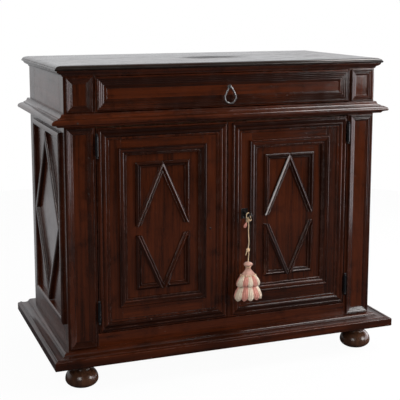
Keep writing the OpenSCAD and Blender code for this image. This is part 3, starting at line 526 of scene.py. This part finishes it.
# The top board: the same walnut, glued up to the full depth and laid on the frame. It carries the
# dark ring-shaped stain left by something wet, with bleached greyish wax round it.
def stained_top(place):
    stain_middle = (0.040, -0.013, 1.021)
    stain_black, pale_wax = (0.004, 0.003, 0.003, 1), (0.070, 0.060, 0.052, 1)
    sockets = old_wood(*stained, 0.0, 0.12)(place)
    spot = place.node("VectorMath", {0: place, 1: stain_middle}, {"operation": "SUBTRACT"})
    near = spot.stretched(6.4, 8.5, 1)
    far = near.node("VectorMath", {0: near}, {"operation": "LENGTH"}, 1)
    streaks = place.stretched(7, 26, 1).noise(1, 4, 0.65, 0.6)
    stain = (1.45 - far - streaks * 1.5).between(-0.15, 0.45)
    cloudy = place.stretched(3, 9, 1).noise(1, 4, 0.65).between(0.35, 0.7)
    waxed = (0.15 + cloudy * 0.5).mixed(sockets["Base Color"], pale_wax)
    sockets["Base Color"] = (stain * 0.9).mixed(waxed, stain_black)
    sockets["Roughness"] = sockets["Roughness"] + stain * 0.30 - cloudy * 0.04
    return sockets


joinery("top_board", finish("stained_walnut", stained_top), board_arris)


# The panels and the drawer front: wide plain boards, with the panels let into grooves in their
# frames and the front dovetailed to the drawer's sides.
joinery("left_side_panel right_side_panel left_door_panel right_door_panel drawer_front",
        walnut_field, board_arris)


# The large mouldings under the top, at the waist and round the base: planed in long runs, mitred at
# the front corners and glued to the frame. The base is the most scuffed and shines the least.
run_arris = 0.0006
joinery("top_moulding_front top_moulding_returns waist_moulding_front waist_moulding_returns",
        walnut_frame, run_arris, "moulding")
joinery("base_moulding_front base_moulding_returns base_back_rail",
        walnut("walnut_base", 0.02, gloss=0.16, shine=0.38), run_arris, "moulding")


# The applied mouldings: thin mitred strips that make the rectangles and lozenges on the sides, the
# posts, the doors and the drawer. They are stained darker than the boards, partly as painted shade
# in their hollows, and their inner corners are painted darker with grime and painted shade.
strip_arris = 0.0008
joinery("left_side_moulding right_side_moulding post_mouldings left_door_edge_moulding "
        "right_door_edge_moulding left_door_panel_moulding right_door_panel_moulding "
        "left_door_lozenge right_door_lozenge drawer_moulding",
        walnut("walnut_moulding", -0.10, gloss=0.13), strip_arris, "moulding")


# The bun feet: turned from lighter walnut with the grain upright, and tenoned into the base.
# Their stain is thinner, and they shine less than the rest.
turned = ((0.010, 0.0045, 0.003, 1), (0.058, 0.023, 0.012, 1), (0.130, 0.055, 0.028, 1), edge_wear_and_highlight)
joinery("bun_feet", finish("walnut_turned", old_wood(*turned, 0.1, 0.20)), 0, "z")


# The hidden boards: undyed wood gone brown with age, rougher and without wax, for the back, the
# floor, the shelf, the dust board, the runners and the drawer's inside.
undyed = ((0.060, 0.030, 0.016, 1), (0.160, 0.082, 0.040, 1), (0.260, 0.140, 0.066, 1),
          (0.34, 0.21, 0.12, 1))
inner_wood = finish("inner_wood", old_wood(*undyed, 0.05, 0.58), Specular_IOR_Level=0.3)
joinery("back_boards bottom_board shelf shelf_cleats dust_board drawer_runners drawer_guides door_stop "
        "drawer_sides drawer_back drawer_bottom", inner_wood, board_arris, slot="inner_wood")


# The ironwork: hinges, bolt, lock, key and ring pull, forged and blackened with oil, a little rusty
# in the pits and rubbed to grey metal on the edges, and all over the ring that hands pull.
def blackened(place, handled=0.0):
    oil_black, rust_brown = (0.006, 0.006, 0.007, 1), (0.030, 0.012, 0.007, 1)
    bare_iron = (0.30, 0.29, 0.29, 1)
    worn = place.node("Attribute", {}, {"attribute_name": "worn"}, 2)
    pits = place.noise(240, 3, 0.6)
    rust = place.noise(55, 4, 0.6).between(0.55, 0.72)
    rubbed = worn.maths("MAXIMUM", worn, 0) * 0.8 + pits.between(0.6, 0.75) * 0.2
    bright = (rubbed + handled) * place.noise(80, 3).between(0.3, 0.6)
    return {"Base Color": bright.mixed((rust * 0.4).mixed(oil_black, rust_brown), bare_iron),
            "Metallic": bright * 0.9,
            "Roughness": 0.14 + pits * 0.12 + rust * 0.25,
            "Normal": pits.bump(0.35, 0.0006)}


iron_arris = 0.0003
iron = finish("blackened_iron", blackened)
joinery("hinge_pintles left_hinge_eyes right_hinge_eyes slide_bolt slide_bolt_staples lock_keeper "
        "lock_case lock_bolt door_key", iron, iron_arris, slot="iron")
joinery("ring_staple ring_pull", finish("handled_iron", lambda place: blackened(place, handled=0.7)),
        iron_arris, slot="iron")


# Heads of old forged nails: one in the meeting stile of the left door and one in the waist moulding,
# driven flush and gone black.
nail_r, dome = 0.0032, 0.4
for name, body, middle in (("door_nail_head", "left_door", (-0.0597, -0.2534, 0.477)),
                           ("waist_nail_head", frame["nodes"]["waist_moulding_front"]["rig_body"],
                            (-0.5037, -0.2830, 0.8465))):
    bm = bmesh.new()
    bmesh.ops.create_uvsphere(bm, u_segments=10, v_segments=8, radius=nail_r)
    chance = random.Random(name)
    for v in bm.verts:
        v.co = Vector((v.co.x, v.co.y * dome, v.co.z)) * chance.uniform(0.88, 1.05) + Vector(middle)
    piece(name, bm, iron, body, "iron")


# The room: a pale floor of paper, lit from below like a light table. Seen directly it is white, but
# the wax mirrors it dark in front of the cupboard, and paler behind, where it lifts the side panels.
bm = bmesh.new()
bmesh.ops.create_circle(bm, cap_ends=True, segments=96, radius=3)
floor_mesh = bpy.data.meshes.new("floor")
bm.to_mesh(floor_mesh)
bm.free()
floor = bpy.data.objects.new("floor", floor_mesh)
bpy.context.scene.collection.objects.link(floor)


def floor_paper(place):
    behind = place.node("SeparateXYZ", {0: place}, None, 1).between(0.35, 1.3)
    mirrored = behind.mixed((0.03, 0.03, 0.033, 1), (0.55, 0.56, 0.58, 1))
    return {"Base Color": place.noise(3).mixed((0.04, 0.04, 0.04, 1), (0.03, 0.03, 0.03, 1)),
            "Emission Color": place.node("LightPath", {}).mixed(mirrored, (0.96, 0.96, 0.96, 1))}


floor_mesh.materials.append(finish("floor_paper", floor_paper, Roughness=0.9, Emission_Strength=1,
                                   Specular_IOR_Level=0.0))


# The lights: one soft lamp on each side of the camera and two overhead, which draw the bright lines
# on the mouldings, and a wide screen at the right that lights the right side and the edges facing it.
def lamp(name, place, aim, wide, high, power, colour=(1, 1, 1)):
    light = bpy.data.lights.new(name, "AREA")
    light.shape, light.size, light.size_y = "RECTANGLE", wide, high
    light.energy, light.color = power, colour
    made = bpy.data.objects.new(name, light)
    made.location = place
    made.rotation_euler = (Vector(aim) - Vector(place)).to_track_quat("-Z", "Y").to_euler()
    bpy.context.scene.collection.objects.link(made)


lamp("lamp_left", (-1.9, -2.7, 1.5), aim=(0, 0, 0.5), wide=0.9, high=1.1, power=26)
lamp("lamp_right", (2.3, -2.4, 1.3), aim=(0, 0, 0.5), wide=0.9, high=1.2, power=42)
lamp("lamp_high", (-1.6, -1.4, 2.6), aim=(0, -0.25, 0.6), wide=0.9, high=0.9, power=24)
lamp("lamp_above", (1.7, -0.5, 2.8), aim=(0.3, -0.25, 0.6), wide=1.2, high=1.0, power=40)
lamp("white_screen", (2.35, -0.35, 1.0), aim=(0, -0.35, 1.0), wide=2.6, high=2.0, power=56,
     colour=(1, 0.93, 0.98))


# Black flags keep the lamps that stand beside the cupboard off its polished top, which would glare
# when it is seen from behind.
flagged = bpy.data.collections.new("flagged")
flagged.objects.link(bpy.data.objects["top_board_worn"])
flagged.collection_objects[0].light_linking.link_state = "EXCLUDE"
for name in ("lamp_left", "lamp_right", "white_screen"):
    bpy.data.objects[name].light_linking.receiver_collection = flagged


# The backdrop: plain white where it is seen. What the wax mirrors of it is white behind the cupboard,
# and goes dark in front of it and towards the floor.
world = bpy.data.worlds.new("backdrop")
bpy.context.scene.world = world
world.use_nodes = True
tree = world.node_tree
way = Tone(tree.nodes.new("ShaderNodeTexCoord").outputs["Generated"])
behind = way.node("SeparateXYZ", {0: way}, None, 1).between(0.0, 0.5)
upward = way.node("SeparateXYZ", {0: way}, None, 2).between(-0.6, 0.15)
mirrored = (behind * upward).mixed((0.02, 0.02, 0.02, 1), (0.80, 0.81, 0.83, 1))
shown = way.node("LightPath", {}).mixed(mirrored, (1, 1, 1, 1))
tree.links.new(shown.socket, tree.nodes["Background"].inputs["Color"])
bpy.context.scene.view_settings.view_transform = "Standard"
bpy.context.scene.view_settings.look = "None"
